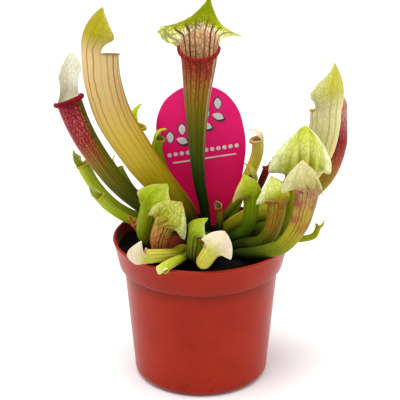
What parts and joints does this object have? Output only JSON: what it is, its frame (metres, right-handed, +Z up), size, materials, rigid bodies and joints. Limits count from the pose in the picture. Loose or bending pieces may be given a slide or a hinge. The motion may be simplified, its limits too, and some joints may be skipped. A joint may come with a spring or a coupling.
{
  "type": "potted trumpet pitcher plant",
  "caption": "Carnivorous trumpet pitcher plant with tubular hooded leaves, rooted in peat in a tapered nursery pot with a plain plant label.",
  "frame": {"origin": "on the pot's axis, at the underside of its base, which is the plane that it stands on", "axes": "+Z up along the pot's axis, -Y towards the side that the plant shows best, +X to the right seen from there"},
  "size_m": [0.1489, 0.1004, 0.1989],
  "materials": {
    "terracotta_polypropylene": "satin",
    "peat": "matt, crumbly",
    "rhizome_bark": "rough",
    "pink_polystyrene": "gloss",
    "leaf_lime": "satin",
    "leaf_yellow": "satin",
    "leaf_crimson": "satin",
    "leaf_olive": "satin",
    "leaf_green": "satin",
    "leaf_cream": "satin",
    "leaf_maroon": "satin",
    "dry_bract": "matt, dry"
  },
  "bodies": {
    "root": {"dry_sheath": "dry_bract", "pitcher_back_left": "leaf_green", "pitcher_back_maroon": "leaf_maroon", "pitcher_back_right": "leaf_yellow", "pitcher_behind_tall": "leaf_olive", "pitcher_centre": "leaf_olive", "pitcher_crown_small": "leaf_green", "pitcher_front_cream": "leaf_cream", "pitcher_front_olive": "leaf_olive", "pitcher_left_front": "leaf_lime", "pitcher_left_netted": "leaf_lime", "pitcher_left_red": "leaf_crimson", "pitcher_left_slender": "leaf_green", "pitcher_left_tall": "leaf_yellow", "pitcher_lower_left": "leaf_lime", "pitcher_lower_left_small": "leaf_lime", "pitcher_rear_left": "leaf_lime", "pitcher_rear_middle": "leaf_cream", "pitcher_rear_right": "leaf_lime", "pitcher_right_front": "leaf_cream", "pitcher_right_inner": "leaf_lime", "pitcher_right_lobed": "leaf_lime", "pitcher_right_mid": "leaf_lime", "pitcher_right_red": "leaf_crimson", "pitcher_right_small": "leaf_lime", "pitcher_right_tall": "leaf_yellow", "pitcher_rim_curled": "leaf_cream", "pitcher_rim_small": "leaf_lime", "pitcher_small_hooked": "leaf_lime", "plant_label": "pink_polystyrene", "pot": "terracotta_polypropylene", "rhizome": "rhizome_bark", "soil": "peat"}
  },
  "joints": []
}
